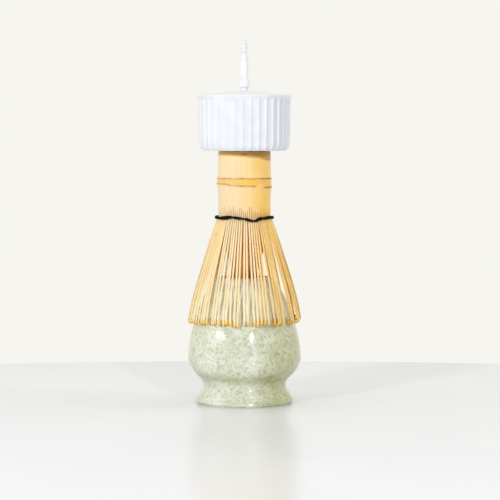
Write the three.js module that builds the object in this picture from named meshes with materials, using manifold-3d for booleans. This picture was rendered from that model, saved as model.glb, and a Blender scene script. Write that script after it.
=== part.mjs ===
// A bamboo tea whisk (chasen) standing on its glazed ceramic shape keeper (kusenaoshi), with a
// white fluted candle cup resting on the end of the handle.
// Millimetres, +Z up, origin at the centre of the shape keeper's foot, on the table.

import * as THREE from 'three';
import { mergeVertices } from 'three/addons/utils/BufferGeometryUtils.js';
import Module from 'manifold-3d';

const wasm = await Module();
wasm.setup();

// ---- Driving dimensions ----------------------------------------------------------------------

const GAP = 0.3; // clearance between pieces that touch
const FACETS = 40; // facets round a plain turned piece

// The shape keeper is an open-ended slip-cast shell: a flared foot, a waist and an onion-shaped bulb.
// Radius and height of its outer face, from the foot up to the mouth.
const STAND_OUTSIDE = [
  [26.3, 1.4], [25.2, 4.2], [23.3, 7.0], [22.4, 9.6], [23.6, 12.6], [27.5, 16.9],
  [30.2, 21.8], [30.8, 26.6], [29.8, 33.6], [27.6, 41.3], [24.3, 52.2], [20.4, 60.4], [16.6, 66.2],
];
const STAND = {
  height: 68.3,
  wall: 2.9,
  steps: 15, // along the outer face
  footRadius: 25.1, // outer edge of the flat ring that it stands on
  footWidth: 3.2,
  mouthRadius: 12.2, // of the hole that the inner tines go into
  lipRadius: 1.5,
  lipTurn: Math.PI / 3, // where the lip's round takes over from the outer face
};

const HANDLE = {
  bottom: 107.1, // the culm is split into tines below this height
  top: 136.0,
  nodeBottom: 118.0, // lower ridge of the culm's node
  nodeTop: 121.3,
  boreRadius: 8.8, // of the culm's own hollow
  septum: 2.4, // thickness of the wall that closes the bore at the node
};
// Radius and height of the culm's outer face, from the split end up to the cut end.
const HANDLE_OUTSIDE = [
  [14.1, HANDLE.bottom], [14.05, 110.3], [14.45, 116.4], [15.0, HANDLE.nodeBottom], [14.7, 118.8],
  [14.7, 120.5], [15.0, HANDLE.nodeTop], [14.5, 122.9], [14.25, 126.3], [14.2, 135.5], [13.7, HANDLE.top],
];

// The culm's lower end is split into sections, and each section into outer and inner tines.
const SECTIONS = 16;
const SECTION_TURN = (2 * Math.PI) / SECTIONS;

const OUTER = {
  tinesPerSection: 5,
  rootInside: 12.35,
  rootOutside: 13.85,
  // radius and height of the tine's middle line, from its root to where the curl begins
  line: [[13.3, 103.5], [13.3, 100.4], [15.0, 97.6], [23.8, 70.4], [28.4, 54.5], [30.4, 45.8]],
  curlRadius: 1.65,
  curlTurn: (200 * Math.PI) / 180,
  curlSteps: 3,
  width: [0.9, 1.15], // at the root and at the tip
  thickness: [0.85, 0.4],
};

const INNER = {
  rootInside: 9.2,
  rootOutside: 12.0,
  line: [[10.7, 103.5], [11.4, 97.0], [10.9, 87.0], [8.6, 76.5], [6.8, 69.0], [6.2, 52.5]],
  width: [0.8, 0.5],
  thickness: [0.7, 0.4],
  nesting: [0, 1.0, 0.5, 1.5], // how much nearer to the axis each of a section's tines ends
};

const ROOT_BOTTOM = 102.0; // the uncut band that holds a section's tines together
const ROOT_TOP = HANDLE.bottom - GAP;

const THREAD = {
  radius: 15.2, // of the ring that the thread forms round the tines
  height: 100.3,
  halfThickness: 0.85,
  wave: 0.3,
  waves: 5,
  sag: 1.1, // just right of the front, where the thread has slipped down the tines' flare
  sagAngle: (-71 * Math.PI) / 180,
  sagSpread: (13 * Math.PI) / 180,
  flare: 0.6, // how much further out the thread lies for each millimetre that it drops
};

const CUP = {
  bottom: HANDLE.top + GAP,
  rimTop: 166.2,
  rimRadius: 25.25,
  rimBevel: 0.7,
  rimBand: 1.0, // height of the plain band above the flutes
  rimStep: 0.3, // how far the band slopes out from the fluted wall
  fluteEnd: 0.7, // height over which the flutes fade out
  topRadius: 25.0, // of the fluted wall, where it meets the rim band
  footRadius: 21.4, // of the flat underside
  cornerWidth: 3.25,
  cornerHeight: 4.8,
  wall: 2.4,
  floor: 3.0,
  flutes: 36,
  fluteDepth: 0.55,
  pointsPerFlute: 2,
};

const WAX = {
  edgeHeight: CUP.rimTop - 0.1,
  domeHeight: 168.1,
};

const CANDLE = {
  radius: 2.15,
  bottom: 156.0,
  top: 188.1,
  bevel: 0.2,
};

const COLLAR = {
  outerRadius: 3.05,
  bottom: 170.4,
  top: 174.6,
};

const WICK = {
  radius: 1.45,
  bottom: 183.0,
  top: 195.5,
};

const LOOKS = {
  glaze: { color: 0xc9cbab, roughness: 0.18, metalness: 0 },
  bamboo: { color: 0xf0c27a, roughness: 0.45, metalness: 0 },
  thread: { color: 0x17120f, roughness: 0.85, metalness: 0 },
  porcelain: { color: 0xf1f3f7, roughness: 0.3, metalness: 0 },
  wax: { color: 0xf6f5f0, roughness: 0.5, metalness: 0 },
  cotton: { color: 0xeeece4, roughness: 0.9, metalness: 0 },
};

// ---- Making solids ---------------------------------------------------------------------------

// A closed geometry as a manifold-3d solid.
function solidOf(geometry) {
  const bare = geometry.index ? geometry.toNonIndexed() : geometry.clone();
  bare.deleteAttribute('normal');
  bare.deleteAttribute('uv');
  const merged = mergeVertices(bare, 1e-4);
  return new wasm.Manifold(new wasm.Mesh({
    numProp: 3,
    vertProperties: new Float32Array(merged.attributes.position.array),
    triVerts: new Uint32Array(merged.index.array),
  }));
}

// A manifold-3d solid as a geometry.
function geometryOf(solid) {
  const { vertProperties, triVerts } = solid.getMesh();
  const geometry = new THREE.BufferGeometry();
  geometry.setAttribute('position', new THREE.BufferAttribute(vertProperties, 3));
  geometry.setIndex(new THREE.BufferAttribute(triVerts, 1));
  geometry.computeVertexNormals();
  return geometry;
}

// Turns a profile of [radius, height] pairs about the Z axis.
function turned(profile, facets = FACETS) {
  const points = profile.map(([radius, height]) => new THREE.Vector2(radius, height));
  return new THREE.LatheGeometry(points, facets).rotateX(Math.PI / 2);
}

// Points along a smooth curve through [radius, height] pairs.
function smooth(pairs, count) {
  const curve = new THREE.SplineCurve(pairs.map(([radius, height]) => new THREE.Vector2(radius, height)));
  return curve.getPoints(count).map((point) => [point.x, point.y]);
}

// Points along an arc of an ellipse in the profile plane, leaving out its first point.
function arc(centreRadius, centreHeight, across, up, from, to, steps) {
  return Array.from({ length: steps }, (_, i) => {
    const angle = from + ((to - from) * (i + 1)) / steps;
    return [centreRadius + across * Math.cos(angle), centreHeight + up * Math.sin(angle)];
  });
}

// Moves every vertex of a geometry as change(position) says.
function reshaped(geometry, change) {
  const positions = geometry.getAttribute('position');
  const position = new THREE.Vector3();
  for (let i = 0; i < positions.count; i += 1) {
    position.fromBufferAttribute(positions, i);
    change(position);
    positions.setXYZ(i, position.x, position.y, position.z);
  }
  geometry.computeVertexNormals();
  return geometry;
}

// A sliver of bamboo: a box bent along a line of [radius, height] pairs, tapering from root to tip,
// standing at an angle round the axis.
function sliver(line, width, thickness, angle) {
  const last = line.length - 1;
  const outward = new THREE.Vector2(Math.cos(angle), Math.sin(angle));
  return reshaped(new THREE.BoxGeometry(1, 1, 1, 1, 1, last), (position) => {
    const share = position.z + 0.5;
    const i = Math.round(share * last);
    const before = line[Math.max(i - 1, 0)];
    const after = line[Math.min(i + 1, last)];
    const heading = new THREE.Vector2(after[0] - before[0], after[1] - before[1]).normalize();
    const side = position.x * THREE.MathUtils.lerp(...width, share);
    const depth = position.y * THREE.MathUtils.lerp(...thickness, share);
    const radius = line[i][0] - heading.y * depth;
    position.set(
      radius * outward.x - side * outward.y,
      radius * outward.y + side * outward.x,
      line[i][1] + heading.x * depth,
    );
  });
}

// Where one of a section's tines stands, as an angle from the section's own middle.
function tineAngle(index, tinesPerSection) {
  return ((index - (tinesPerSection - 1) / 2) * SECTION_TURN) / tinesPerSection;
}

// The uncut band of culm wall at the top of a section, one section wide less a sawn slit.
function rootBand(inside, outside) {
  const half = SECTION_TURN / 2 - GAP / 2 / inside;
  const shape = new THREE.Shape();
  shape.absarc(0, 0, outside, -half, half, false);
  shape.absarc(0, 0, inside, half, -half, true);
  const height = ROOT_TOP - ROOT_BOTTOM;
  return new THREE.ExtrudeGeometry(shape, { depth: height, bevelEnabled: false, curveSegments: 2 })
    .translate(0, 0, ROOT_BOTTOM);
}

// ---- The pieces ------------------------------------------------------------------------------

function standGeometry() {
  const { height: top, wall, footRadius, footWidth, mouthRadius, lipRadius, lipTurn } = STAND;
  const outside = smooth(STAND_OUTSIDE, STAND.steps);
  const inside = outside.slice(0, -1).map(([radius, height], i) => {
    const next = outside[i + 1];
    const heading = new THREE.Vector2(next[0] - radius, next[1] - height).normalize();
    return [radius - heading.y * wall, height + heading.x * wall];
  });
  const clearOfLip = ([radius, height]) => radius > mouthRadius + GAP && height > wall - GAP;
  return turned([
    [footRadius, 0],
    ...outside,
    ...arc(mouthRadius + lipRadius, top - lipRadius, lipRadius, lipRadius, lipTurn, Math.PI, 3),
    ...inside.filter(clearOfLip).reverse(),
    [footRadius - footWidth, 0],
    [footRadius, 0],
  ]);
}

function handleGeometry() {
  const { bottom, top, nodeBottom, nodeTop, boreRadius, septum } = HANDLE;
  const septumBottom = (nodeBottom + nodeTop - septum) / 2;
  const septumTop = septumBottom + septum;
  return turned([
    [0, septumBottom],
    [boreRadius, septumBottom],
    [boreRadius, bottom],
    ...HANDLE_OUTSIDE,
    [boreRadius, top],
    [boreRadius, septumTop],
    [0, septumTop],
  ]);
}

// One outer section: long slivers with curled tips, held by a band of the culm.
function outerSectionGeometry() {
  const [before, end] = OUTER.line.slice(-2);
  const heading = Math.atan2(end[1] - before[1], end[0] - before[0]);
  const start = heading + Math.PI / 2; // the curl's centre lies inward of the tine's end
  const { curlRadius, curlTurn, curlSteps } = OUTER;
  const centre = [end[0] - curlRadius * Math.cos(start), end[1] - curlRadius * Math.sin(start)];
  const curl = arc(...centre, curlRadius, curlRadius, start, start - curlTurn, curlSteps);
  const line = [...OUTER.line, ...curl];
  let section = solidOf(rootBand(OUTER.rootInside, OUTER.rootOutside));
  for (let i = 0; i < OUTER.tinesPerSection; i += 1) {
    const angle = tineAngle(i, OUTER.tinesPerSection);
    section = section.add(solidOf(sliver(line, OUTER.width, OUTER.thickness, angle)));
  }
  return geometryOf(section);
}

// One inner section: slivers that lean in to the middle, nested behind each other.
function innerSectionGeometry() {
  let section = solidOf(rootBand(INNER.rootInside, INNER.rootOutside));
  INNER.nesting.forEach((nesting, i) => {
    const angle = tineAngle(i, INNER.nesting.length);
    const last = INNER.line.length - 1;
    const line = INNER.line.map(([radius, height], at) => [radius - nesting * (at / last) ** 2, height]);
    section = section.add(solidOf(sliver(line, INNER.width, INNER.thickness, angle)));
  });
  return geometryOf(section);
}

// The thread's turns, as one ring that rises and falls as it is woven round the tines.
function threadGeometry() {
  const { radius, height, halfThickness } = THREAD;
  const section = [
    [radius + halfThickness, height],
    ...arc(radius, height, halfThickness, halfThickness, 0, 2 * Math.PI, 6),
  ];
  return reshaped(turned(section), (position) => {
    const angle = Math.atan2(position.y, position.x);
    const sag = THREAD.sag * Math.exp(-(((angle - THREAD.sagAngle) / THREAD.sagSpread) ** 2));
    const drop = sag - THREAD.wave * Math.sin(THREAD.waves * angle);
    const spread = 1 + (THREAD.flare * Math.max(drop, 0)) / radius;
    position.set(position.x * spread, position.y * spread, position.z - drop);
  });
}

// The cup: a turned dish whose outer wall is fluted between the rim band and the foot.
function cupGeometry() {
  const { bottom, rimTop, rimRadius, rimBevel, rimBand, topRadius } = CUP;
  const { footRadius, cornerWidth, cornerHeight } = CUP;
  const insideRadius = rimRadius - CUP.wall;
  const insideBottom = bottom + CUP.floor;
  const fluteTop = rimTop - rimBevel - rimBand;
  const profile = [
    [0, bottom],
    [footRadius, bottom],
    ...arc(footRadius, bottom + cornerHeight, cornerWidth, cornerHeight, -Math.PI / 2, 0, 4),
    [topRadius, fluteTop - CUP.fluteEnd],
    [topRadius, fluteTop],
    [rimRadius, fluteTop + CUP.rimStep],
    [rimRadius, rimTop - rimBevel],
    [rimRadius - rimBevel, rimTop],
    [insideRadius, rimTop],
    [insideRadius, insideBottom],
    [0, insideBottom],
  ];
  return reshaped(turned(profile, CUP.flutes * CUP.pointsPerFlute), (position) => {
    const radius = Math.hypot(position.x, position.y);
    const outsideWall = radius > insideRadius + GAP || (radius > footRadius && position.z < insideBottom);
    if (!outsideWall || position.z > fluteTop - GAP || position.z < bottom + GAP) return;
    const across = (Math.atan2(position.y, position.x) * CUP.flutes) / 2;
    const depth = CUP.fluteDepth * Math.abs(Math.cos(across));
    position.x *= 1 - depth / radius;
    position.y *= 1 - depth / radius;
  });
}

// The wax that fills the cup, domed on top, with the candle's socket in the middle.
function waxGeometry() {
  const radius = CUP.rimRadius - CUP.wall - GAP;
  const bottom = CUP.bottom + CUP.floor + GAP;
  const socketRadius = CANDLE.radius + GAP;
  const rise = WAX.domeHeight - WAX.edgeHeight;
  const dome = [0, 0.1, 0.3, 0.6].map((share) => {
    const out = THREE.MathUtils.lerp(radius, socketRadius, share);
    return [out, WAX.edgeHeight + rise * Math.sqrt(1 - (out / radius) ** 2)];
  });
  return turned([
    [0, bottom],
    [radius, bottom],
    ...dome,
    [socketRadius, WAX.domeHeight],
    [socketRadius, CANDLE.bottom - GAP],
    [0, CANDLE.bottom - GAP],
  ]);
}

function candleGeometry() {
  const { radius, bottom, top, bevel } = CANDLE;
  const boreRadius = WICK.radius + GAP;
  return turned([
    [0, bottom],
    [radius, bottom],
    [radius, top - bevel],
    [radius - bevel, top],
    [boreRadius, top],
    [boreRadius, WICK.bottom - GAP],
    [0, WICK.bottom - GAP],
  ], 24);
}

function collarGeometry() {
  const insideRadius = CANDLE.radius + GAP;
  const { outerRadius, bottom, top } = COLLAR;
  return turned([
    [insideRadius, bottom],
    [outerRadius - 0.2, bottom],
    [outerRadius, bottom + 0.4],
    [outerRadius, top - 0.6],
    [outerRadius - 0.25, top],
    [insideRadius, top],
    [insideRadius, bottom],
  ], 24);
}

function wickGeometry() {
  const { radius, bottom, top } = WICK;
  return turned([
    [0, bottom],
    [radius, bottom],
    [radius, top - radius],
    ...arc(0, top - radius, radius, radius, 0, Math.PI / 2, 4),
  ], 16);
}

// ---- The assembly ----------------------------------------------------------------------------

const whiskOnStand = new THREE.Group();

function addPiece(name, geometry, look) {
  const mesh = new THREE.Mesh(geometry, new THREE.MeshStandardMaterial(LOOKS[look]));
  mesh.name = name;
  whiskOnStand.add(mesh);
  return mesh;
}

addPiece('stand', standGeometry(), 'glaze');
addPiece('handle', handleGeometry(), 'bamboo');
const outerSection = outerSectionGeometry();
const innerSection = innerSectionGeometry();
for (let i = 0; i < SECTIONS; i += 1) {
  const number = String(i + 1).padStart(2, '0');
  addPiece(`outer_tines_${number}`, outerSection, 'bamboo').rotation.z = i * SECTION_TURN;
  addPiece(`inner_tines_${number}`, innerSection, 'bamboo').rotation.z = i * SECTION_TURN;
}
addPiece('binding_thread', threadGeometry(), 'thread');
addPiece('fluted_cup', cupGeometry(), 'porcelain');
addPiece('wax_fill', waxGeometry(), 'wax');
addPiece('candle', candleGeometry(), 'wax');
addPiece('candle_collar', collarGeometry(), 'wax');
addPiece('wick', wickGeometry(), 'cotton');

export default whiskOnStand;
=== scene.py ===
"""A bamboo tea whisk standing upside down on its glazed stand, with a fluted candle cup on its handle.

Outlines are in millimetres, in the CAD model's frame: +Z up, origin at the centre of the stand's foot.
Angles round the axis are in radians from +X; the front is at -90 degrees, towards -Y.
"""

import math
import random

import bpy
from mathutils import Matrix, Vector, noise


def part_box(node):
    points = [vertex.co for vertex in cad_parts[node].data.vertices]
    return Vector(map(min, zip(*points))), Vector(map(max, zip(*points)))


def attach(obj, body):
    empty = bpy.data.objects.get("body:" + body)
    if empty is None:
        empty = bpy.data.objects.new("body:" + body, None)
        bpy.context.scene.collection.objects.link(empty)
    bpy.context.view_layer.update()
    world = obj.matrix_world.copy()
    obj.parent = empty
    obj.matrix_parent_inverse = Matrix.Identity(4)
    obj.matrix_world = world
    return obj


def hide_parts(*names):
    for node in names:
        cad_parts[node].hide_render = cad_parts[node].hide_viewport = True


MM = 0.001
FRONT = -math.pi / 2

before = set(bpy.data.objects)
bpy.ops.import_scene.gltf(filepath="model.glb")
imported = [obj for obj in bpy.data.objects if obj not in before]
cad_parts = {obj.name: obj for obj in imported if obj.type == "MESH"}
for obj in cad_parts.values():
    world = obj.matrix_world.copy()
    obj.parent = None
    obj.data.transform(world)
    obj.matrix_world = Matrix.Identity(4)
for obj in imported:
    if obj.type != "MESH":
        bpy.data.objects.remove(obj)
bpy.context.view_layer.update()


def extent(node):
    """Largest radius, lowest and highest point of a CAD node on the axis, in millimetres."""
    low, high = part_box(node)
    return high.x / MM, low.z / MM, high.z / MM


STAND_TOP = extent("stand")[2]
HANDLE_RADIUS, HANDLE_BOTTOM, HANDLE_TOP = extent("handle")
CUP_RADIUS, CUP_BOTTOM, CUP_TOP = extent("fluted_cup")
WAX_RADIUS, WAX_BOTTOM, WAX_TOP = extent("wax_fill")
CANDLE_RADIUS, CANDLE_BOTTOM, CANDLE_TOP = extent("candle")
COLLAR_RADIUS, COLLAR_BOTTOM, COLLAR_TOP = extent("candle_collar")
WICK_RADIUS, WICK_BOTTOM, WICK_TOP = extent("wick")

SECTIONS = 16
SECTION_TURN = 2 * math.pi / SECTIONS
OUTER_TINES = 5  # in each section
INNER_TINES = 4
OUTER_PITCH = SECTION_TURN / OUTER_TINES
THREAD_HEIGHT = 100.3


# ---- Small tools -----------------------------------------------------------------------------


def lerp(a, b, share):
    return a + (b - a) * share


def smoothstep(low, high, value):
    share = min(max((value - low) / (high - low), 0.0), 1.0)
    return share * share * (3 - 2 * share)


def near(place, reach, value):
    """1 at a place, falling to 0 at a distance of reach from it."""
    return 1 - smoothstep(0.0, reach, abs(value - place))


def angle_between(a, b):
    """The signed angle from b to a, between -pi and pi."""
    return (a - b + math.pi) % (2 * math.pi) - math.pi


def wobble(angle, height, scale, seed):
    """Smooth noise on a turned surface, between about -1 and 1, without a seam round the axis."""
    place = Vector((math.cos(angle) * scale, math.sin(angle) * scale, height + 17.3 * seed))
    return 2 * noise.noise(place)


def spline(points, steps):
    """Points along a Catmull-Rom curve through a list of (radius, height) pairs."""
    ends = [points[0], *points, points[-1]]
    line = []
    for a, b, c, d in zip(ends, ends[1:], ends[2:], ends[3:]):
        for i in range(steps):
            t = i / steps
            line.append(tuple(
                0.5 * (2 * q + (r - p) * t + (2 * p - 5 * q + 4 * r - s) * t * t
                       + (3 * q - p - 3 * r + s) * t ** 3)
                for p, q, r, s in zip(a, b, c, d)
            ))
    return [*line, points[-1]]


def arc(centre, radius, start, end, steps):
    """Points on an arc in the profile plane, both ends included. radius is (across, up)."""
    turns = [lerp(start, end, i / steps) for i in range(steps + 1)]
    return [(centre[0] + radius[0] * math.cos(t), centre[1] + radius[1] * math.sin(t)) for t in turns]


def add_mesh(name, vertices, faces, material, sharp=40, marks=None):
    """A smooth-shaded mesh from points in millimetres. marks are named numbers, one for each vertex."""
    mesh = bpy.data.meshes.new(name)
    mesh.from_pydata([(x * MM, y * MM, z * MM) for x, y, z in vertices], [], faces)
    mesh.shade_smooth()
    mesh.set_sharp_from_angle(angle=math.radians(sharp))
    for mark, values in (marks or {}).items():
        mesh.attributes.new(mark, "FLOAT", "POINT").data.foreach_set("value", values)
    mesh.materials.append(material)
    piece = bpy.data.objects.new(name, mesh)
    bpy.context.scene.collection.objects.link(piece)
    return piece


def turned(name, profile, angles, material, shape=None, mark=None, sharp=40):
    """A surface turned about Z. profile is (radius, height) pairs, rising on the outside of the wall.

    shape(radius, height, angle, index) moves a point in its own plane through the axis, and
    mark(radius, height, angle, index) gives the named numbers that the material reads.
    """
    vertices, rings, faces, marks = [], [], [], {}
    closed = profile[0] == profile[-1]
    for index, (radius, height) in enumerate(profile[:-1] if closed else profile):
        ring = []
        for angle in angles if radius > 0 else [0.0]:
            r, z = shape(radius, height, angle, index) if shape and radius > 0 else (radius, height)
            ring.append(len(vertices))
            vertices.append((r * math.cos(angle), r * math.sin(angle), z))
            for key, value in (mark(radius, height, angle, index) if mark else {}).items():
                marks.setdefault(key, []).append(value)
        rings.append(ring)
    if closed:
        rings.append(rings[0])
    count = len(angles)
    for lower, upper in zip(rings, rings[1:]):
        for i in range(count):
            j = (i + 1) % count
            if len(lower) == 1:
                faces.append((lower[0], upper[j], upper[i]))
            elif len(upper) == 1:
                faces.append((lower[i], lower[j], upper[0]))
            else:
                faces.append((lower[i], lower[j], upper[j], upper[i]))
    return add_mesh(name, vertices, faces, material, sharp, marks)


def even_angles(count):
    return [2 * math.pi * i / count for i in range(count)]


def add_strip(rings, vertices, faces, closed=False):
    """Adds a swept solid to vertices and faces: a skin through rings of points, and two flat ends."""
    base, count = len(vertices), len(rings[0])
    for ring in rings:
        vertices.extend(ring)
    steps = len(rings) if closed else len(rings) - 1
    for step in range(steps):
        here = base + step * count
        there = base + (step + 1) % len(rings) * count
        for i in range(count):
            j = (i + 1) % count
            faces.append((here + i, here + j, there + j, there + i))
    if not closed:
        faces.append(tuple(base + i for i in reversed(range(count))))
        faces.append(tuple(base + (len(rings) - 1) * count + i for i in range(count)))


# ---- Materials -------------------------------------------------------------------------------


class Paint:
    """A material under construction: its nodes, links and main shader."""

    def __init__(self, name):
        self.material = bpy.data.materials.new(name)
        self.material.use_nodes = True
        self.tree = self.material.node_tree
        self.shader = self.tree.nodes["Principled BSDF"]
        self.place = self.tree.nodes.new("ShaderNodeTexCoord").outputs["Object"]

    def node(self, kind, settings=None, **inputs):
        """Adds a node. inputs are values or other nodes' outputs, with _ for a space in the name."""
        made = self.tree.nodes.new("ShaderNode" + kind)
        for key, value in (settings or {}).items():
            setattr(made, key, value)
        for key, value in inputs.items():
            self.connect(made.inputs[key.replace("_", " ")], value)
        return made

    def connect(self, socket, value):
        if isinstance(value, bpy.types.NodeSocket):
            self.tree.links.new(value, socket)
        else:
            socket.default_value = value

    def set(self, **inputs):
        for key, value in inputs.items():
            self.connect(self.shader.inputs[key.replace("_", " ")], value)

    def mark(self, name):
        return self.node("Attribute", {"attribute_name": name}).outputs["Fac"]

    def noise(self, scale, stretch=(1, 1, 1), detail=3, roughness=0.5):
        """Noise with features about 1 / scale metres across, stretched along an axis by a small share."""
        place = self.node("Mapping", Vector=self.place, Scale=stretch).outputs["Vector"]
        made = self.node("TexNoise", Vector=place, Scale=scale, Detail=detail, Roughness=roughness)
        return made.outputs["Fac"]

    def dots(self, scale, stretch=(1, 1, 1)):
        """Distance from the nearest of a scatter of points about 1 / scale metres apart."""
        place = self.node("Mapping", Vector=self.place, Scale=stretch).outputs["Vector"]
        return self.node("TexVoronoi", Vector=place, Scale=scale).outputs["Distance"]

    def spot(self, centre, size):
        """1 inside a small oval on the surface, falling to 0 round it."""
        place = self.node("VectorMath", {"operation": "SUBTRACT"})
        self.connect(place.inputs[0], self.place)
        place.inputs[1].default_value = centre
        scaled = self.node("VectorMath", {"operation": "DIVIDE"})
        self.connect(scaled.inputs[0], place.outputs["Vector"])
        scaled.inputs[1].default_value = size
        reach = self.node("VectorMath", {"operation": "LENGTH"})
        self.connect(reach.inputs[0], scaled.outputs["Vector"])
        return self.spread(reach.outputs["Value"], 0.5, 1.0, 1.0, 0.0)

    def spread(self, value, low, high, to_low=0.0, to_high=1.0):
        """value, with low..high mapped smoothly to to_low..to_high and clamped."""
        made = self.node("MapRange", {"interpolation_type": "SMOOTHSTEP"}, Value=value)
        for key, number in {"From Min": low, "From Max": high, "To Min": to_low, "To Max": to_high}.items():
            made.inputs[key].default_value = number
        return made.outputs["Result"]

    def times(self, a, b):
        made = self.node("Math", {"operation": "MULTIPLY"})
        self.connect(made.inputs[0], a)
        self.connect(made.inputs[1], b)
        return made.outputs["Value"]

    def mix(self, share, a, b, blend="MIX"):
        made = self.node("Mix", {"data_type": "RGBA", "blend_type": blend})
        self.connect(made.inputs[0], share)
        self.connect(made.inputs[6], a)
        self.connect(made.inputs[7], b)
        return made.outputs[2]

    def tint(self, share, base, *shade):
        """base, multiplied by an sRGB shade to the given share."""
        return self.mix(share, base, colour(*shade), "MULTIPLY")

    def bump(self, height, strength, distance, under=None):
        made = self.node("Bump", Height=height, Strength=strength, Distance=distance)
        if under is not None:
            self.connect(made.inputs["Normal"], under)
        return made.outputs["Normal"]


def colour(red, green, blue):
    """An sRGB colour, 0 to 255, as the linear colour that nodes take."""
    return (*((c / 255 / 12.92 if c / 255 <= 0.04045 else ((c / 255 + 0.055) / 1.055) ** 2.4)
              for c in (red, green, blue)), 1.0)


ALONG_GRAIN = (1, 1, 0.022)


def bamboo(name, pale, golden, roughness, streaks, glow=0.0, blemish=None):
    """Dried bamboo. Marks: warmth 0 pale to 1 golden, stain 0 to 1 dark brown, tip 0 to 1 honey-coloured.
    Besides the bamboo's own colour, they carry painted shade: the shaded right side, the cup's shadow,
    and the slits and curls.

    streaks is how strongly its fibres and flecks show, glow how much light passes through it, and
    blemish the place, size and colour of one worn patch.
    """
    paint = Paint(name)
    fibres = paint.noise(2600, ALONG_GRAIN, detail=2)
    bands = paint.noise(420, (1, 1, 0.06), detail=3)
    clouds = paint.noise(90, (1, 1, 0.5), detail=2)
    flecks = paint.dots(1500, (1, 1, 0.09))
    # The golden mark also carries painted shade on the right side.
    base = paint.mix(paint.mark("warmth"), colour(*pale), colour(*golden))
    base = paint.tint(paint.spread(bands, 0.35, 0.7, 0.0, 0.3 * streaks), base, 236, 186, 112)
    base = paint.mix(paint.spread(clouds, 0.3, 0.75, 0.0, 0.25), base, colour(250, 226, 178))
    base = paint.tint(paint.spread(fibres, 0.42, 0.68, 0.0, 0.3 * streaks), base, 214, 160, 94)
    base = paint.tint(paint.spread(flecks, 0.0, 0.14, 0.35 * streaks, 0.0), base, 190, 130, 68)
    base = paint.mix(paint.times(paint.mark("tip"), 0.85), base, colour(255, 207, 96))
    # The dark brown mark also carries painted shade: the cup's shadow, the slits and the curls' ends.
    base = paint.mix(paint.mark("stain"), base, colour(150, 86, 24))
    if blemish:
        place, size, tint = blemish
        rough = paint.noise(1400, detail=2, roughness=0.6)
        worn = paint.mix(paint.spread(rough, 0.4, 0.62), colour(*tint), colour(*golden))
        base = paint.mix(paint.spot(place, size), base, worn)
    relief = paint.bump(fibres, 0.35, 0.00012)
    relief = paint.bump(bands, 0.2, 0.0002, relief)
    paint.set(
        Base_Color=base,
        Roughness=paint.spread(bands, 0.3, 0.7, roughness - 0.07, roughness + 0.09),
        Normal=relief,
    )
    paint.shader.inputs["Specular IOR Level"].default_value = 0.45
    paint.shader.inputs["Subsurface Weight"].default_value = glow
    paint.shader.inputs["Subsurface Scale"].default_value = 0.0012
    paint.shader.inputs["Subsurface Radius"].default_value = (1.0, 0.8, 0.5)
    return paint.material


def cut_bamboo(name):
    """The sawn end of a culm: pale pith with the dark dots of its vascular bundles."""
    paint = Paint(name)
    bundles = paint.dots(1150)
    grain = paint.noise(3200, detail=2)
    base = paint.mix(paint.spread(bundles, 0.12, 0.34, 1.0, 0.0), colour(238, 209, 152), colour(150, 96, 44))
    base = paint.tint(paint.spread(grain, 0.4, 0.7, 0.0, 0.4), base, 214, 170, 104)
    paint.set(Base_Color=base, Roughness=0.72, Normal=paint.bump(grain, 0.5, 0.0002))
    return paint.material


def speckled_glaze():
    """Pale green glaze with clustered grey-green speckles over a bare foot, and painted light towards the
    mouth.

    Marks, all from 0 to 1: bare for the unglazed foot, thin for the lip's edge, one for painted light on the
    shoulder where the tines shade it, and one for olive where glaze has pooled at the waist and, as painted
    shade, on the right side and a little on the left.
    """
    paint = Paint("speckled_glaze")
    milk = paint.noise(75, detail=3)
    clouds = paint.noise(260, detail=3, roughness=0.6)
    blots = paint.noise(460, detail=4, roughness=0.6)
    grains = paint.noise(780, detail=3, roughness=0.6)
    base = paint.mix(paint.spread(milk, 0.35, 0.68), colour(222, 225, 206), colour(235, 237, 223))
    base = paint.mix(paint.spread(clouds, 0.42, 0.68, 0.0, 0.5), base, colour(206, 210, 180))
    base = paint.mix(paint.spread(blots, 0.47, 0.67, 0.0, 0.75), base, colour(184, 190, 152))
    base = paint.mix(paint.spread(grains, 0.52, 0.74, 0.0, 0.6), base, colour(150, 155, 112))
    # Olive: glaze pooled at the waist, and painted shade on the right side and a little on the left.
    base = paint.tint(paint.mark("olive"), base, 209, 209, 170)
    # Painted light: the shoulder under the tines is drawn paler where they shade it.
    base = paint.mix(paint.times(paint.mark("milky"), 0.6), base, colour(250, 251, 232))
    bare = paint.mark("bare")
    base = paint.mix(bare, base, colour(232, 226, 212))
    thin = paint.mark("thin")
    base = paint.mix(paint.times(thin, 0.8), base, colour(240, 232, 214))
    relief = paint.bump(clouds, 0.12, 0.0004)
    relief = paint.bump(blots, 0.1, 0.0001, relief)
    paint.set(Base_Color=base, Normal=relief, Roughness=paint.spread(bare, 0.0, 1.0, 0.12, 0.8))
    paint.set(Coat_Weight=0.55)
    paint.shader.inputs["Coat Roughness"].default_value = 0.06
    return paint.material


def porcelain():
    """Satin white porcelain with a cool tint.

    Its one mark, 0 to 1, is painted shade: bluer and darker in the flutes' grooves, most on the right side.
    """
    paint = Paint("porcelain")
    clouds = paint.noise(130, detail=3)
    grain = paint.noise(1900, detail=2)
    base = paint.mix(paint.spread(clouds, 0.3, 0.7), colour(228, 231, 235), colour(234, 236, 239))
    base = paint.mix(paint.spread(grain, 0.5, 0.8, 0.0, 0.25), base, colour(224, 228, 236))
    # Painted shade in the flutes' grooves.
    base = paint.mix(paint.mark("pooled"), base, colour(217, 220, 229))
    paint.set(
        Base_Color=base,
        Roughness=paint.spread(clouds, 0.3, 0.7, 0.34, 0.44),
        Normal=paint.bump(clouds, 0.08, 0.0005),
    )
    return paint.material


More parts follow.
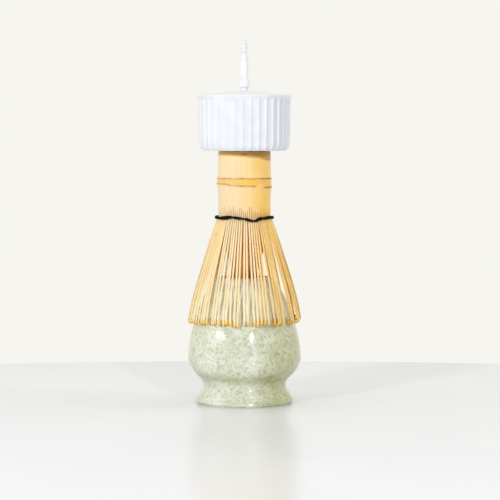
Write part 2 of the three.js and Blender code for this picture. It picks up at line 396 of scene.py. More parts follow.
def wax(name, pale, deep):
    """White candle wax: soft, slightly cloudy, with a dull sheen."""
    paint = Paint(name)
    clouds = paint.noise(420, detail=3)
    grain = paint.noise(2400, detail=2)
    base = paint.mix(paint.spread(clouds, 0.32, 0.7), colour(*pale), colour(*deep))
    relief = paint.bump(clouds, 0.25, 0.0003)
    relief = paint.bump(grain, 0.15, 0.0001, relief)
    paint.set(Base_Color=base, Roughness=paint.spread(grain, 0.3, 0.7, 0.38, 0.52), Normal=relief)
    paint.shader.inputs["Subsurface Weight"].default_value = 0.15
    paint.shader.inputs["Subsurface Scale"].default_value = 0.002
    return paint.material


def cotton(name, light, dark, sheen):
    """Twisted cotton: fine fibres, matt, with a little sheen."""
    paint = Paint(name)
    fibres = paint.noise(5200, detail=3, roughness=0.65)
    clumps = paint.noise(1300, detail=2)
    base = paint.mix(paint.spread(fibres, 0.35, 0.7), colour(*dark), colour(*light))
    base = paint.mix(paint.spread(clumps, 0.35, 0.7, 0.0, 0.5), base, colour(*dark))
    paint.set(Base_Color=base, Roughness=0.85, Normal=paint.bump(fibres, 0.8, 0.00015))
    paint.shader.inputs["Sheen Weight"].default_value = sheen
    paint.shader.inputs["Specular IOR Level"].default_value = 0.25
    paint.shader.inputs["Sheen Roughness"].default_value = 0.5
    return paint.material


def table_top():
    """A smooth white lacquered table top."""
    paint = Paint("table_top")
    clouds = paint.noise(9, detail=2)
    base = paint.mix(paint.spread(clouds, 0.3, 0.7), colour(230, 231, 237), colour(234, 235, 240))
    paint.set(Base_Color=base, Roughness=0.22)
    return paint.material


# ---- The stand -------------------------------------------------------------------------------

# Radius and height of the stand's outer face, from the foot up to the mouth.
STAND_OUTSIDE = [
    (25.6, 0.5), (26.3, 1.4), (25.2, 4.2), (23.3, 7.0), (22.4, 9.6), (23.6, 12.6), (27.5, 16.9),
    (30.1, 21.8), (30.7, 26.6), (29.8, 33.6), (27.95, 41.3), (24.3, 52.2), (20.4, 60.4), (16.6, 66.2),
]
STAND_WALL = 2.9
STAND_MOUTH = 12.2
STAND_LIP = 1.5
WAIST_HEIGHT = 15.2  # where the bulb meets the foot's flare, and glaze has pooled
PAINTED_LIGHT_FROM = (42, 50)  # heights between which the glaze is drawn paler, as painted light where the tines shade it
FOOT_RADIUS = 25.1
FOOT_WIDTH = 3.2


def stand_radius(height):
    """The stand's outer radius at a height, or 0 above and below it."""
    for (r0, z0), (r1, z1) in zip(STAND_OUTSIDE, STAND_OUTSIDE[1:]):
        if z0 <= height <= z1:
            return lerp(r0, r1, (height - z0) / (z1 - z0))
    return 0.0


def make_stand():
    outside = spline(STAND_OUTSIDE, 6)
    inside = []
    for (r0, z0), (r1, z1) in zip(outside, outside[1:]):
        run = math.hypot(r1 - r0, z1 - z0)
        inside.append((r0 - (z1 - z0) / run * STAND_WALL, z0 + (r1 - r0) / run * STAND_WALL))
    inside = [(r, z) for r, z in inside if r > STAND_MOUTH + 0.4 and z > STAND_WALL]
    lip_centre = (STAND_MOUTH + STAND_LIP, STAND_TOP - STAND_LIP)
    lip = arc(lip_centre, (STAND_LIP, STAND_LIP), math.pi / 3, math.pi, 12)
    foot = [(FOOT_RADIUS - FOOT_WIDTH, 1.2), (FOOT_RADIUS - FOOT_WIDTH + 0.5, 0.0), (FOOT_RADIUS, 0.0)]
    profile = [(FOOT_RADIUS, 0.0), *outside, *lip, *reversed(inside), *foot]

    def shape(radius, height, angle, index):
        unevenness = smoothstep(0.0, 3.0, height) * 0.09
        return radius + unevenness * wobble(angle, height * 0.05, 1.2, 1), height

    def mark(radius, height, angle, index):
        edge = 0.6 + 0.25 * wobble(angle, 0.0, 3.0, 2)  # the height at which the glaze ends
        side = angle_between(angle, FRONT)
        # Painted shade: more olive on the right side, and a little on the left.
        right = smoothstep(-0.1, 0.9, side) * (1 - smoothstep(2.0, 3.0, side))
        left = smoothstep(-0.4, -1.2, side) * (1 - smoothstep(-2.0, -3.0, side))
        painted_side_shade = (0.75 + 0.2 * smoothstep(14, 8, height)) * right + 0.3 * left
        # The glaze has pooled at the waist, darker and more olive there.
        pooled = 0.6 * math.exp(-((height - WAIST_HEIGHT) / 2.4) ** 2)
        pooled += 0.15 * wobble(angle, height * 0.1, 2.0, 13)
        on_lip = math.dist((radius, height), lip_centre) < STAND_LIP + 0.2
        return {
            "bare": 1 - smoothstep(edge - 0.3, edge, height),
            "thin": smoothstep(STAND_TOP - 1.1, STAND_TOP - 0.2, height) * on_lip,
            "milky": smoothstep(*PAINTED_LIGHT_FROM, height),
            "olive": min(painted_side_shade + pooled, 1.0),
        }

    stand = turned("stand_shell", profile, even_angles(180), speckled_glaze(), shape, mark)
    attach(stand, "stand")
    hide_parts("stand")


# ---- The whisk's handle ----------------------------------------------------------------------

NODE_BOTTOM = 118.0
NODE_TOP = 121.3
# Radius and height of the culm's outer face, from behind the thread up to the sawn end.
HANDLE_OUTSIDE = [
    (14.0, THREAD_HEIGHT + 0.2), (14.1, 103.5), (14.1, 107.1), (14.1, 110.3), (14.35, 114.6), (14.62, 117.0),
    (14.97, NODE_BOTTOM), (14.66, 118.9), (14.62, 120.4), (14.95, NODE_TOP), (14.55, 122.3), (14.3, 126.3),
    (14.2, 131.5), (14.15, 135.2),
]
BORE_RADIUS = 8.8
SEPTUM = (118.4, 120.9)  # bottom and top of the wall across the bore
END_BEVEL = 0.5
DARK_SPOT_HEIGHT = 134.35  # of the small dark spot in front, under the sawn end
DARK_SPOT_SIZE = (1.5, 0.42)
SCAR_SIDE = 36  # degrees to the right of the front, where the lower ridge is worn away
CUP_SHADOW_DEPTH = (1.9, 3.3)  # of the painted shadow of the cup, a darker band at the sawn end: at the far left, and right of the front
CUP_SHADOW_EXTRA = 1.6  # how much deeper the painted cup shadow gets towards the right side
SLIT_WIDTH = 0.42
SLIT_DEPTH = 0.4
SLIT_TOPS = (103.8, 107.4)


def on_whisk(side, radius, height):
    """A place on the whisk, side degrees to the right of the front, in metres."""
    angle = FRONT + math.radians(side)
    return (radius * math.cos(angle) * MM, radius * math.sin(angle) * MM, height * MM)


def culm_side_shade(angle):
    """Painted shade by side: pale in front and to the left, golden on the shaded right side and behind."""
    side = angle_between(angle, FRONT)
    right = smoothstep(-0.5, 0.9, side) * (1 - 0.5 * smoothstep(1.8, 3.1, side))
    return 0.1 + 0.7 * right + 0.35 * smoothstep(-1.0, -2.2, side)


def tine_side_shade(angle, share):
    """The tines are palest just left of the front, golden as painted shade on the right side, and golden to
    the far left and behind.

    share is how far along the tine: the far left is golden at the top only.
    """
    side = angle_between(angle, FRONT)
    right = lerp(0.68, 0.8, share) * smoothstep(0.1, 0.7, side)
    return 0.1 + right + lerp(0.42, 0.1, share) * smoothstep(-0.6, -0.8, side)


def lower_ridge_drop(angle):
    """How far the node's lower ridge dips below its mean height: it slants down to the right, with a step."""
    across = math.cos(angle)
    step = 0.35 * smoothstep(-0.62, -0.5, across) + 0.5 * smoothstep(0.5, 0.62, across)
    return 0.5 * across + step + 0.12 * wobble(angle, 0.0, 2.5, 3) - 0.3


def upper_ridge_drop(angle):
    """How far the node's upper ridge dips below its mean height."""
    return 0.16 * wobble(angle, 0.0, 2.2, 4)


def handle_angles():
    """Columns round the culm: two at the edges of each slit between tines, one in it, and some between."""
    half = SLIT_WIDTH / 2 / HANDLE_RADIUS
    offsets = [-half, 0.0, half, OUTER_PITCH * 0.3, OUTER_PITCH * 0.5, OUTER_PITCH * 0.7]
    slits = SECTIONS * OUTER_TINES
    return [OUTER_PITCH * (slit + 0.5) + offset for slit in range(slits) for offset in offsets]


def make_handle(skin, cut_end):
    tops = random.Random(11)
    slit_tops = [tops.uniform(*SLIT_TOPS) for _ in range(SECTIONS * OUTER_TINES)]
    outside = spline(HANDLE_OUTSIDE, 7)
    top_radius = HANDLE_OUTSIDE[-1][0]
    bevel = arc((top_radius - END_BEVEL, HANDLE_TOP - END_BEVEL), (END_BEVEL, END_BEVEL), 0.0, math.pi / 2, 5)
    low, high = SEPTUM
    bore_top = [(BORE_RADIUS + 0.3, HANDLE_TOP), (BORE_RADIUS, HANDLE_TOP - 0.4), (BORE_RADIUS, high + 1.4)]
    floor = [(BORE_RADIUS - 0.5, high + 0.5), (BORE_RADIUS * 0.6, high), (0.0, high - 0.2)]
    ceiling = [(0.0, low + 0.2), (BORE_RADIUS * 0.6, low), (BORE_RADIUS - 0.4, low - 0.5)]
    bore_bottom = [(BORE_RADIUS, low - 1.4), (BORE_RADIUS, HANDLE_BOTTOM), (13.4, THREAD_HEIGHT + 0.2)]
    angles = handle_angles()
    per_slit = len(angles) // len(slit_tops)

    def shape(radius, height, angle, index):
        if radius < HANDLE_OUTSIDE[0][0] - 0.1 or height > HANDLE_TOP - 0.6:
            return radius, height
        column = angles.index(angle)
        slit_top = slit_tops[column // per_slit]
        past_lower = smoothstep(NODE_BOTTOM, NODE_TOP, height)
        at_lower = smoothstep(NODE_BOTTOM - 6, NODE_BOTTOM, height) * (1 - past_lower)
        at_upper = past_lower * (1 - smoothstep(NODE_TOP, NODE_TOP + 5, height))
        drop = at_lower * lower_ridge_drop(angle) + at_upper * upper_ridge_drop(angle)
        swell = 0.1 * wobble(angle, height * 0.04, 0.8, 5) + 0.02 * wobble(angle, height * 0.02, 14, 6)
        if column % per_slit == 1:
            swell -= SLIT_DEPTH * smoothstep(slit_top, slit_top - 1.6, height)
        return radius + swell, height - drop

    def mark(radius, height, angle, index):
        if radius <= HANDLE_OUTSIDE[0][0] - 0.1:
            return {"warmth": 0.7, "stain": 0.12, "tip": 0.0}
        side = math.degrees(angle_between(angle, FRONT))
        in_front = 1 - smoothstep(100, 170, side)  # so that the right side meets the left one behind
        in_band = smoothstep(NODE_BOTTOM - 0.4, NODE_BOTTOM, height)
        in_band *= 1 - smoothstep(NODE_TOP, NODE_TOP + 0.4, height)

        breaks = 0.6 + 0.25 * wobble(angle, 0.0, 5.0, 7) + 0.3 * smoothstep(25, 45, side) * in_front
        scar = math.exp(-((side - SCAR_SIDE) / 8) ** 2)
        lower_line = breaks * (1 - scar) * near(NODE_BOTTOM - 0.25, 0.8, height)
        upper_line = breaks * near(NODE_TOP + 0.2, 0.7, height)

        # A small dark spot in front, under the sawn end.
        across, up = math.radians(side) * HANDLE_RADIUS / DARK_SPOT_SIZE[0], (height - DARK_SPOT_HEIGHT) / DARK_SPOT_SIZE[1]
        knot = 1 - smoothstep(0.6, 1.1, across ** 2 + up ** 2)

        column = angles.index(angle)
        slot = 0.0
        if column % per_slit == 1:
            slit_top = slit_tops[column // per_slit]
            # Painted shade in the slits between the tines' roots, fainter towards the sides.
            slit_shade = 0.7 * (1 - 0.75 * smoothstep(35, 65, abs(side)))
            slot = slit_shade * smoothstep(slit_top, slit_top - 1.0, height)

        # Painted shadow of the cup on the culm under it: deeper towards the right side.
        band = lerp(*CUP_SHADOW_DEPTH, smoothstep(-60, 30, side) * in_front)
        band += CUP_SHADOW_EXTRA * smoothstep(25, 65, side) * in_front
        painted_cup_shadow = lerp(0.38, 0.66, smoothstep(-50, 30, side) * in_front)
        painted_cup_shadow *= smoothstep(band + 0.5, band - 0.4, HANDLE_TOP - height)
        return {
            "warmth": min(culm_side_shade(angle) + 0.55 * in_band, 1.0),
            "stain": max(lower_line, upper_line, knot, slot, 0.1 * in_band, painted_cup_shadow),
            # Near the sawn end the honey tone is painted shade, the warm colour of the cup's shadow.
            "tip": max(0.35 * in_band, 0.8 * smoothstep(HANDLE_TOP - 4, HANDLE_TOP - 1, height)),
        }

    profile = [*outside, *bevel, *bore_top, *floor]
    handle = turned("culm_handle", profile, angles, skin, shape, mark)
    end_radius = top_radius - END_BEVEL - 0.05
    handle.data.materials.append(cut_end)
    for face in handle.data.polygons:
        if face.center.z > (HANDLE_TOP - 0.05) * MM and math.hypot(*face.center.xy) < end_radius * MM:
            face.material_index = 1
    inside = [*ceiling, *bore_bottom]
    underside = turned("culm_underside", inside, even_angles(96), skin, mark=mark_underside)
    for piece in (handle, underside):
        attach(piece, "whisk")
        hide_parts("handle")


def mark_underside(radius, height, angle, index):
    """The bore's inside is darker than the skin."""
    return {"warmth": 0.8, "stain": 0.15, "tip": 0.2}


# ---- The tines -------------------------------------------------------------------------------

# Radius and height of an outer tine's middle line, from its root to where its curl begins.
OUTER_LINE = [
    (13.35, 105.6), (13.35, 102.6), (13.5, 101.0), (14.2, 99.6), (15.1, 97.9), (16.6, 93.4), (18.5, 87.4),
    (21.0, 79.2), (23.8, 70.4), (26.5, 61.7), (28.7, 53.6), (30.3, 46.0),
]
CURL_RADIUS = 1.6
CURL_TURN = math.radians(235)
TIP_CLEARANCE = 0.48  # from the middle of a tine to the stand, where the tips rest against it
INNER_LINE = [
    (10.9, 105.0), (11.5, 98.0), (11.1, 90.0), (10.3, 83.5), (8.6, 76.5), (6.9, 70.0), (6.3, 62.0),
    (6.1, 52.8),
]
TINE_SIDES = 8
CURL_STEPS = 12
CLOSED_WIDTH = 1.14  # of a tine's root, where the tines stay side by side
OPEN_WIDTH = 0.84
OUTER_DEPTHS = (0.85, 0.36)
INNER_WIDTHS = (1.16, 0.6)
INNER_DEPTHS = (0.7, 0.36)
BACK_OPENING = 152  # degrees to the right of the front
# Where the outer tines part: an angle to the right of the front and how far they lean, both in degrees,
# and a power that says how low down the parting opens.
PARTINGS = (
    (-39, 1.3, 1.0), (-3.2, 2.2, 0.4), (6.2, 2.2, 0.4), (29, 3.7, 0.75), (51, 5.6, 1.8), (67, 2.2, 1.6),
    (112, 2.0, 1.3), (130, 5.6, 1.7), (BACK_OPENING, 7.0, 0.7), (-170, 1.0, 1.0),
)


def parting(angle, share):
    """How far a tine leans to one side, away from the nearest partings, at a share of its length."""
    lean = 0.0
    for place, size, power in PARTINGS:
        away = math.degrees(angle_between(angle, FRONT)) - place
        lean += math.copysign(size * math.exp(-abs(away) / 6.0), away) * share ** power
    return math.radians(lean)


def tine_rings(line, angles, widths, depths, twist):
    """Rings of points round a sliver that follows a line of (radius, height) at angles round the axis.

    widths and depths are (at the root, at the end). The sliver's section is a rounded rectangle.
    """
    middle = [Vector((r * math.cos(a), r * math.sin(a), z)) for (r, z), a in zip(line, angles)]
    rings = []
    last = len(middle) - 1
    for i, (point, angle) in enumerate(zip(middle, angles)):
        heading = (middle[min(i + 1, last)] - middle[max(i - 1, 0)]).normalized()
        sideways = Vector((-math.sin(angle), math.cos(angle), 0.0))
        sideways = (sideways - heading * sideways.dot(heading)).normalized()
        outward = heading.cross(sideways)
        share = i / last
        turn = twist * share
        across = sideways * math.cos(turn) + outward * math.sin(turn)
        through = outward * math.cos(turn) - sideways * math.sin(turn)
        half_width, half_depth = lerp(*widths, share) / 2, lerp(*depths, share) / 2
        ring = []
        for side in range(TINE_SIDES):
            t = 2 * math.pi * (side + 0.5) / TINE_SIDES
            x = math.copysign(abs(math.cos(t)) ** 0.55, math.cos(t)) * half_width
            y = math.copysign(abs(math.sin(t)) ** 0.7, math.sin(t)) * half_depth
            ring.append(tuple(point + across * x + through * y))
        rings.append(ring)
    return rings


def outer_tine(angle, luck):
    """One long tine with a curled tip, uneven by luck.

    Gives its rings of points and, for each ring, how far along the tine it is, how far into the curl,
    and how much painted shade darkens the curl's end there.
    """
    reach = luck.gauss(0, 0.35)
    bow = luck.gauss(0, 0.35)
    lean = math.radians(luck.gauss(0, 0.45))
    sway = math.radians(luck.gauss(0, 0.35))
    drop = luck.gauss(0, 0.35)
    line = spline(OUTER_LINE, 4)
    (r0, z0), (r1, z1) = line[-2:]
    start = math.atan2(z1 - z0, r1 - r0) + math.pi / 2
    radius = CURL_RADIUS * luck.uniform(0.85, 1.1)
    centre = (r1 - radius * math.cos(start), z1 - radius * math.sin(start))
    turn = CURL_TURN * luck.uniform(0.85, 1.15)
    line = [*line, *arc(centre, (radius, radius), start, start - turn, CURL_STEPS)[1:]]
    top, bottom = OUTER_LINE[3][1], OUTER_LINE[-1][1]
    placed, angles, shares = [], [], []
    for r, z in line:
        share = min(max((top - z) / (top - bottom), 0.0), 1.0)
        free = smoothstep(0.0, 1.0, share)
        r += min(reach, 0.15) * free + bow * math.sin(math.pi * share) * 0.6
        z += drop * share ** 2
        placed.append((max(r, stand_radius(z) + TIP_CLEARANCE), z))
        angles.append(angle + parting(angle, share) + lean * share ** 1.3 + sway * math.sin(math.pi * share))
        shares.append(share)
    curl = len(line) - CURL_STEPS
    tips = [smoothstep(curl - 2, curl + 1, i) for i in range(len(line))]
    side = math.degrees(angle_between(angle, FRONT))
    # Painted shade in the curls' hollows, stronger towards the shaded right side.
    dark = lerp(0.05, 0.36, smoothstep(10, 30, side)) * (0.85 + 0.4 * wobble(angle, 0.0, 9.0, 12))
    ends = [dark * smoothstep(curl + 3, curl + 7, i) for i in range(len(line))]
    open_behind = math.exp(-((side - BACK_OPENING) / 10) ** 4)
    closed = smoothstep(34, 44, abs(side)) * (1 - open_behind)
    full = 0.3 * smoothstep(-40, -48, side)  # the left side's tines lie side by side down to their tips
    widths = (lerp(OPEN_WIDTH, CLOSED_WIDTH, closed), luck.uniform(1.06, 1.26) + full)
    rings = tine_rings(placed, angles, widths, OUTER_DEPTHS, luck.gauss(0, 0.15))
    return rings, shares, tips, ends


def inner_tine(angle, luck):
    """One inner tine, leaning in to the bundle, uneven by luck. Gives what outer_tine gives."""
    nest = luck.uniform(0.0, 1.2)
    lean = math.radians(luck.gauss(0, 3.0))
    line = spline(INNER_LINE, 6)
    last = len(line) - 1
    placed = [(r - nest * (i / last) ** 2, z) for i, (r, z) in enumerate(line)]
    angles = [angle + lean * (i / last) ** 2 for i in range(len(line))]
    shares = [i / last for i in range(len(line))]
    no_curl = [0.0] * len(line)
    rings = tine_rings(placed, angles, INNER_WIDTHS, INNER_DEPTHS, luck.gauss(0, 0.3))
    return rings, shares, no_curl, no_curl


def make_section(name, node, tines, tine, material, seed):
    """One of the sections that the culm is split into, with its tines side by side."""
    luck = random.Random(seed)
    vertices, faces = [], []
    marks = {"warmth": [], "stain": [], "tip": []}
    number = int(node[-2:]) - 1
    for i in range(tines):
        angle = (number + (i - (tines - 1) / 2) / tines) * SECTION_TURN
        rings, shares, tips, ends = tine(angle, luck)
        tone = luck.uniform(-0.12, 0.12)
        add_strip(rings, vertices, faces)
        for share, tip, end in zip(shares, tips, ends):
            warmth = min(max(tine_side_shade(angle, share) + tone + 0.15 * (1 - share), 0.0), 1.0)
            marks["warmth"] += [warmth] * TINE_SIDES
            # Random darker tone, plus painted shade at the curls' ends.
            marks["stain"] += [0.05 + 0.1 * max(tone, 0.0) + end] * TINE_SIDES
            marks["tip"] += [tip] * TINE_SIDES
    piece = add_mesh(name, vertices, faces, material, 50, marks)
    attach(piece, "whisk")
    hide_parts(node)


def make_tines(outer_skin, inner_skin):
    for i in range(1, SECTIONS + 1):
        outer, inner = f"outer_tines_{i:02d}", f"inner_tines_{i:02d}"
        make_section(f"outer_split_{i:02d}", outer, OUTER_TINES, outer_tine, outer_skin, 100 + i)
        make_section(f"inner_split_{i:02d}", inner, INNER_TINES, inner_tine, inner_skin, 200 + i)


# ---- The thread ------------------------------------------------------------------------------

STRANDS = 2
STRAND_RADIUS = 0.33
STRAND_SWING = 0.52
STRAND_SIDES = 10
THREAD_RADIUS = 15.15
TWISTS = SECTIONS * OUTER_TINES // 2
STEPS_PER_TWIST = 12


def thread_rise(angle):
    """How far the thread rises above its mean height: it sags a little right of the front."""
    side = math.degrees(angle_between(angle, FRONT))
    sag = -1.2 * math.exp(-((side - 19) / (15 if side < 19 else 10)) ** 2)
    lift = 0.6 * math.exp(-((side + 28) / 15) ** 2) + 0.3 * math.exp(-((side - 66) / 16) ** 2)
    return sag + lift + 0.25 * wobble(angle, 0.0, 1.8, 8) * smoothstep(60, 100, abs(side))


def make_thread(material):
    """Two strands twined round each other, one passing in front of each tine as the other passes behind."""
    vertices, faces = [], []
    steps = TWISTS * STEPS_PER_TWIST
    luck = random.Random(31)
    knots = [luck.uniform(-1, 1) for _ in range(TWISTS * 2)]

    def knot(step):
        """How much fuller the thread is at a step, from -1 to 1, with a fresh value at each tine."""
        place = step * len(knots) / steps
        return lerp(knots[int(place)], knots[(int(place) + 1) % len(knots)], smoothstep(0, 1, place % 1.0))

    for strand in range(STRANDS):
        middle = []
        for step in range(steps):
            angle = 2 * math.pi * step / steps
            twine = TWISTS * angle + 2 * math.pi * strand / STRANDS
            rise = thread_rise(angle)
            follow = 0.6 * max(-rise, 0.0)  # the tines flare below the thread's usual place
            radius = THREAD_RADIUS + follow + STRAND_SWING * math.cos(twine)
            height = THREAD_HEIGHT + rise + STRAND_SWING * (1 + 0.4 * knot(step)) * math.sin(twine)
            middle.append(Vector((radius * math.cos(angle), radius * math.sin(angle), height)))
        rings = []
        for step, point in enumerate(middle):
            heading = (middle[(step + 1) % steps] - middle[step - 1]).normalized()
            outward = Vector((point.x, point.y, 0.0)).normalized()
            outward = (outward - heading * outward.dot(heading)).normalized()
            upward = heading.cross(outward)
            angle = 2 * math.pi * step / steps
            twine = TWISTS * angle + 2 * math.pi * strand / STRANDS
            size = STRAND_RADIUS * (1 + 0.32 * math.cos(twine) + 0.28 * knot(step))
            around = [outward * math.cos(t) + upward * math.sin(t) for t in even_angles(STRAND_SIDES)]
            rings.append([tuple(point + way * size) for way in around])
        add_strip(rings, vertices, faces, closed=True)
    thread = add_mesh("twined_thread", vertices, faces, material, 80)
    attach(thread, "whisk")
    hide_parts("binding_thread")


# ---- The cup and its wax ---------------------------------------------------------------------

FLUTES = 36
FLUTE_POINTS = 10  # columns across each flute
FLUTE_DEPTH = 0.75
FLUTE_TURN = math.radians(-1.9)
FLUTE_TOP = CUP_TOP - 1.7
FLUTE_ROUND = 0.45  # height of the rounded end of a flute
CUP_FOOT = 21.4
CUP_CORNER = (3.25, 4.8)
CUP_WALL = 2.4
CUP_FLOOR = 3.0


def make_cup(material):
    wall_top = CUP_RADIUS - 0.25
    corner = arc((CUP_FOOT, CUP_BOTTOM + CUP_CORNER[1]), CUP_CORNER, -math.pi / 2, 0.0, 16)
    rises = [i / 20 for i in range(1, 21)]
    corner_end = corner[-1]
    wall = [(lerp(corner_end[0], wall_top, s), lerp(corner_end[1], FLUTE_TOP, s ** 0.7)) for s in rises]
    rim = arc((CUP_RADIUS - 0.8, CUP_TOP - 0.8), (0.8, 0.8), 0.0, math.pi / 2, 6)
    band = [(wall_top, FLUTE_TOP + 0.15), (CUP_RADIUS, FLUTE_TOP + 0.45)]
    inside_radius, floor = CUP_RADIUS - CUP_WALL, CUP_BOTTOM + CUP_FLOOR
    inside = [(inside_radius + 0.3, CUP_TOP), (inside_radius, CUP_TOP - 0.3), (inside_radius, floor + 1),
              (inside_radius - 1, floor), (0.0, floor)]
    under = [(0.0, CUP_BOTTOM + 0.5), (17.6, CUP_BOTTOM + 0.5), (18.2, CUP_BOTTOM)]
    profile = [*under, *corner, *wall, *band, *rim, *inside]
    first, last = len(under), len(under) + len(corner) + len(wall) - 1

    def across_flute(angle):
        """How far across its flute an angle is: -1 and 1 at the ridges on either side of it."""
        return ((angle - FLUTE_TURN) * FLUTES / (2 * math.pi)) % 1.0 * 2 - 1

    def shape(radius, height, angle, index):
        if not first <= index <= last:
            return radius, height
        hollow = 1 - across_flute(angle) ** 2
        end = FLUTE_TOP - 0.1 - FLUTE_ROUND * (1 - math.sqrt(max(hollow, 0.0)))
        depth = FLUTE_DEPTH * hollow * smoothstep(end, end - 0.35, height)
        lean = math.pi / 2 * (1 - min((index - first) / (len(corner) - 1), 1.0))  # 0 on the wall
        depth *= smoothstep(0, 4, index - first)
        return radius - depth * math.cos(lean), height + depth * math.sin(lean)

    def mark(radius, height, angle, index):
        side = angle_between(angle, FRONT)
        # Painted shade in the grooves, faint on the left and full on the shaded right side.
        right = smoothstep(0.2, 1.0, side) * (1 - smoothstep(2.0, 3.0, side))
        share = lerp(0.08, 1.0, right) if first <= index <= last + 1 else 0.0
        return {"pooled": share * smoothstep(0.9, 0.35, abs(across_flute(angle)))}

    angles = [angle + FLUTE_TURN for angle in even_angles(FLUTES * FLUTE_POINTS)]
    cup = turned("fluted_bowl", profile, angles, material, shape, mark, sharp=48)
    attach(cup, "cup")
    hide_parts("fluted_cup")


DOME_STEPS = 24


def make_wax(material):
    """The wax: creeping up the cup's wall at its edge, domed, with a socket for the candle."""
    socket = CANDLE_RADIUS + 0.3
    edge = CUP_TOP - 0.1
    dome = []
    for i in range(DOME_STEPS + 1):
        radius = lerp(WAX_RADIUS, socket + 0.5, i / DOME_STEPS)
        meniscus = 0.45 * math.exp(-(WAX_RADIUS - radius) / 0.7)
        height = edge - 0.35 + meniscus + (WAX_TOP - edge + 0.35) * (1 - (radius / WAX_RADIUS) ** 2) ** 0.8
        dome.append((radius, min(height, WAX_TOP)))
    under = [(0.0, WAX_BOTTOM), (WAX_RADIUS - 0.8, WAX_BOTTOM), (WAX_RADIUS, WAX_BOTTOM + 0.8)]
    bottom = CANDLE_BOTTOM - 0.3
    well = [(socket + 0.1, WAX_TOP - 0.05), (socket, WAX_TOP - 0.35), (socket, bottom), (0.0, bottom)]

    def shape(radius, height, angle, index):
        ripple = 0.06 if height > edge and radius > socket + 1 else 0.0
        return radius, height - ripple * abs(wobble(angle, radius * 0.2, 1.5, 10))

    fill = turned("wax_pool", [*under, *dome, *well], even_angles(120), material, shape)
    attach(fill, "cup")
    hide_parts("wax_fill")


# ---- The candle ------------------------------------------------------------------------------


def make_candle(material):
    """The candle, slightly uneven, with a well in its top for the wick."""
    bore = WICK_RADIUS + 0.3
    stretch = [i / 40 for i in range(41)]
    side = [(CANDLE_RADIUS - 0.03, lerp(CANDLE_BOTTOM + 0.4, CANDLE_TOP - 0.5, s)) for s in stretch]
    shoulder = arc((CANDLE_RADIUS - 0.5, CANDLE_TOP - 0.5), (0.47, 0.5), 0.0, math.pi / 2, 5)
    bottom = WICK_BOTTOM - 0.3
    well = [(bore + 0.05, CANDLE_TOP), (bore, CANDLE_TOP - 0.15), (bore, bottom), (0.0, bottom)]
    profile = [(0.0, CANDLE_BOTTOM), (CANDLE_RADIUS - 0.4, CANDLE_BOTTOM), *side, *shoulder, *well]

    def shape(radius, height, angle, index):
        dip = 0.05 * wobble(angle, height * 0.35, 0.7, 11) if radius > bore + 0.1 else 0.0
        return radius + min(dip, 0.03), height

    candle = turned("taper_candle", profile, even_angles(48), material, shape)
    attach(candle, "candle")
    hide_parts("candle")


def make_collar(material):
    """The sleeve round the candle, with a rounded top."""
    inside = CANDLE_RADIUS + 0.05
    low = arc((COLLAR_RADIUS - 0.4, COLLAR_BOTTOM + 0.4), (0.4, 0.4), -math.pi / 2, 0.0, 6)
    high = arc((COLLAR_RADIUS - 0.7, COLLAR_TOP - 0.9), (0.68, 0.9), 0.0, math.pi / 2, 8)
    profile = [(inside, COLLAR_BOTTOM), *low, *high, (inside, COLLAR_TOP), (inside, COLLAR_BOTTOM)]

    def shape(radius, height, angle, index):
        sag = 0.06 * wobble(angle, height * 0.4, 0.9, 12) if radius > inside + 0.2 else 0.0
        return radius + min(sag, 0.0), height

    collar = turned("candle_sleeve", profile, even_angles(56), material, shape)
    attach(collar, "candle")
    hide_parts("candle_collar")


WICK_PLIES = 3
WICK_TWIST = 3.2 / 6  # radians for each millimetre of length
WICK_STEPS = 60


def make_wick(material):
    """A waxed wick: three plies twisted together, closing to a rounded end."""
    vertices, faces = [], []
    rings = []
    for step in range(WICK_STEPS + 1):
        height = lerp(WICK_BOTTOM, WICK_TOP, step / WICK_STEPS)
        left = (WICK_TOP - height) / WICK_RADIUS
        cap = math.sqrt(max(1 - (1 - left) ** 2, 0.0)) if left < 1 else 1.0
        ring = []
        for angle in even_angles(36):
            groove = 0.07 * (1 - abs(math.sin((angle + WICK_TWIST * height) * WICK_PLIES / 2)))
            radius = max(WICK_RADIUS * (1 - groove) * cap, 0.02)
            ring.append((radius * math.cos(angle), radius * math.sin(angle), height))
        rings.append(ring)
    add_strip(rings, vertices, faces)
    wick = add_mesh("waxed_wick", vertices, faces, material, 60)
    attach(wick, "candle")
    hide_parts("wick")


# ---- The setting -----------------------------------------------------------------------------

CAMERA_DISTANCE = 1.05  # metres from the axis, level with the cup
CAMERA_HEIGHT = 0.1474
CAMERA_SIDE = 0.003
CAMERA_TILT = math.radians(3.53)  # downwards
HALF_VIEW = math.atan(250 / 1945)  # from half the picture's width and the focal length, in pixels
TABLE_EDGE = 0.186  # metres behind the axis
TABLE_RADIUS = 0.9
TABLE_THICKNESS = 0.03
TABLE_SIDES = 160
DIM_SIDE = 0.06  # brightness of the room behind the camera, as a share of the wall's


def make_table():
    middle = TABLE_EDGE - TABLE_RADIUS
    turns = even_angles(TABLE_SIDES)
    rim = [(TABLE_RADIUS * math.cos(a) / MM, (TABLE_RADIUS * math.sin(a) + middle) / MM) for a in turns]
    vertices = [(x, y, z) for z in (0.0, -TABLE_THICKNESS / MM) for x, y in rim]
    faces = [tuple(range(TABLE_SIDES)), tuple(reversed(range(TABLE_SIDES, 2 * TABLE_SIDES)))]
    for i in range(TABLE_SIDES):
        j = (i + 1) % TABLE_SIDES
        faces.append((i, i + TABLE_SIDES, j + TABLE_SIDES, j))
    table = add_mesh("table", vertices, faces, table_top())


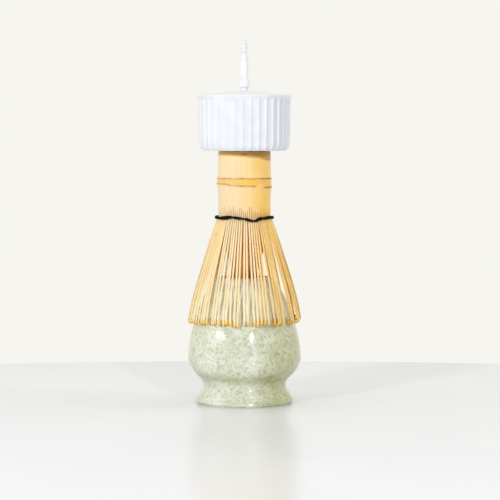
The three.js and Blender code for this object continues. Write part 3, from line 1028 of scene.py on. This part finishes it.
def make_setting():
    """The camera, the table and a white room: a bright wall behind, the dim room in front, four lights."""
    scene = bpy.context.scene
    camera = bpy.data.objects.new("camera", bpy.data.cameras.new("camera"))
    camera.data.lens = camera.data.sensor_width / 2 / math.tan(HALF_VIEW)
    camera.location = (CAMERA_SIDE, -CAMERA_DISTANCE, CAMERA_HEIGHT)
    camera.rotation_euler = (math.pi / 2 - CAMERA_TILT, 0.0, 0.0)
    scene.collection.objects.link(camera)
    scene.camera = camera
    scene.view_settings.view_transform = "Standard"

    world = bpy.data.worlds.new("white_room")
    world.use_nodes = True
    tree = world.node_tree
    direction = tree.nodes.new("ShaderNodeTexCoord").outputs["Generated"]
    brightness = tree.nodes.new("ShaderNodeMapRange")
    towards_wall = tree.nodes.new("ShaderNodeVectorMath")
    towards_wall.operation = "DOT_PRODUCT"
    towards_wall.inputs[1].default_value = (0.0, 0.9, 0.43)
    tree.links.new(direction, towards_wall.inputs[0])
    tree.links.new(towards_wall.outputs["Value"], brightness.inputs["Value"])
    brightness.interpolation_type = "SMOOTHSTEP"
    for key, number in {"From Min": -0.45, "From Max": 0.35, "To Min": DIM_SIDE, "To Max": 1.0}.items():
        brightness.inputs[key].default_value = number
    background = tree.nodes["Background"]
    background.inputs["Color"].default_value = colour(246, 245, 239)
    tree.links.new(brightness.outputs["Result"], background.inputs["Strength"])
    scene.world = world

    make_table()

    add_light("window", azimuth=-55, elevation=17.4, size=(0.7, 0.16), power=1.9, tint=(214, 232, 255))
    add_light("key", azimuth=-35, elevation=16, size=(0.14, 0.08), power=9.6)
    bpy.data.objects["key"].visible_glossy = False
    add_light("strip", azimuth=16, elevation=18.0, size=(0.02, 0.06), power=6.4)
    add_light("side", azimuth=80, elevation=22, size=(0.3, 0.4), power=3.5)
    bpy.data.objects["side"].visible_glossy = False


def add_light(name, azimuth, elevation, size, power, tint=(255, 255, 255), distance=1.5):
    """A soft box that faces the whisk. azimuth is degrees to the right of the camera."""
    light = bpy.data.lights.new(name, "AREA")
    light.shape = "RECTANGLE"
    light.size, light.size_y = size
    light.energy = power
    light.color = colour(*tint)[:3]
    lamp = bpy.data.objects.new(name, light)
    a, e = math.radians(azimuth), math.radians(elevation)
    towards = Vector((math.sin(a) * math.cos(e), -math.cos(a) * math.cos(e), math.sin(e)))
    lamp.location = Vector((0.0, 0.0, 0.1)) + towards * distance
    lamp.rotation_mode = "QUATERNION"
    lamp.rotation_quaternion = towards.to_track_quat("Z", "Y")
    bpy.context.scene.collection.objects.link(lamp)


# ---- Everything ------------------------------------------------------------------------------

make_setting()
make_stand()
scar = (on_whisk(34, 14.9, NODE_BOTTOM - 1.0), (0.0033, 0.0033, 0.0019), (250, 208, 156))
fleck = (on_whisk(-62, 17.6, 91.6), (0.0017, 0.0017, 0.0010), (186, 134, 66))
whisk_skin = bamboo("bamboo_skin", (241, 220, 180), (252, 198, 62), 0.4, 0.3, blemish=scar)
tine_skin = bamboo("bamboo_tines", (255, 239, 201), (255, 208, 113), 0.5, 0.35, 0.3, blemish=fleck)
# The inner tines' deep orange is partly the inner wood's colour and partly painted shade, for the bundle in
# the outer tines' shade.
inner_wood_and_shade = bamboo("bamboo_inner", (252, 162, 52), (250, 142, 34), 0.55, 0.7, 0.45)
make_handle(whisk_skin, cut_bamboo("bamboo_cut_end"))
make_tines(tine_skin, inner_wood_and_shade)
make_thread(cotton("black_cotton", (18, 15, 15), (4, 3, 3), 0.02))
make_cup(porcelain())
white_wax = wax("white_wax", (241, 242, 243), (235, 236, 237))
make_wax(white_wax)
make_candle(white_wax)
make_collar(white_wax)
make_wick(cotton("waxed_cotton", (241, 241, 241), (228, 228, 226), 0.05))
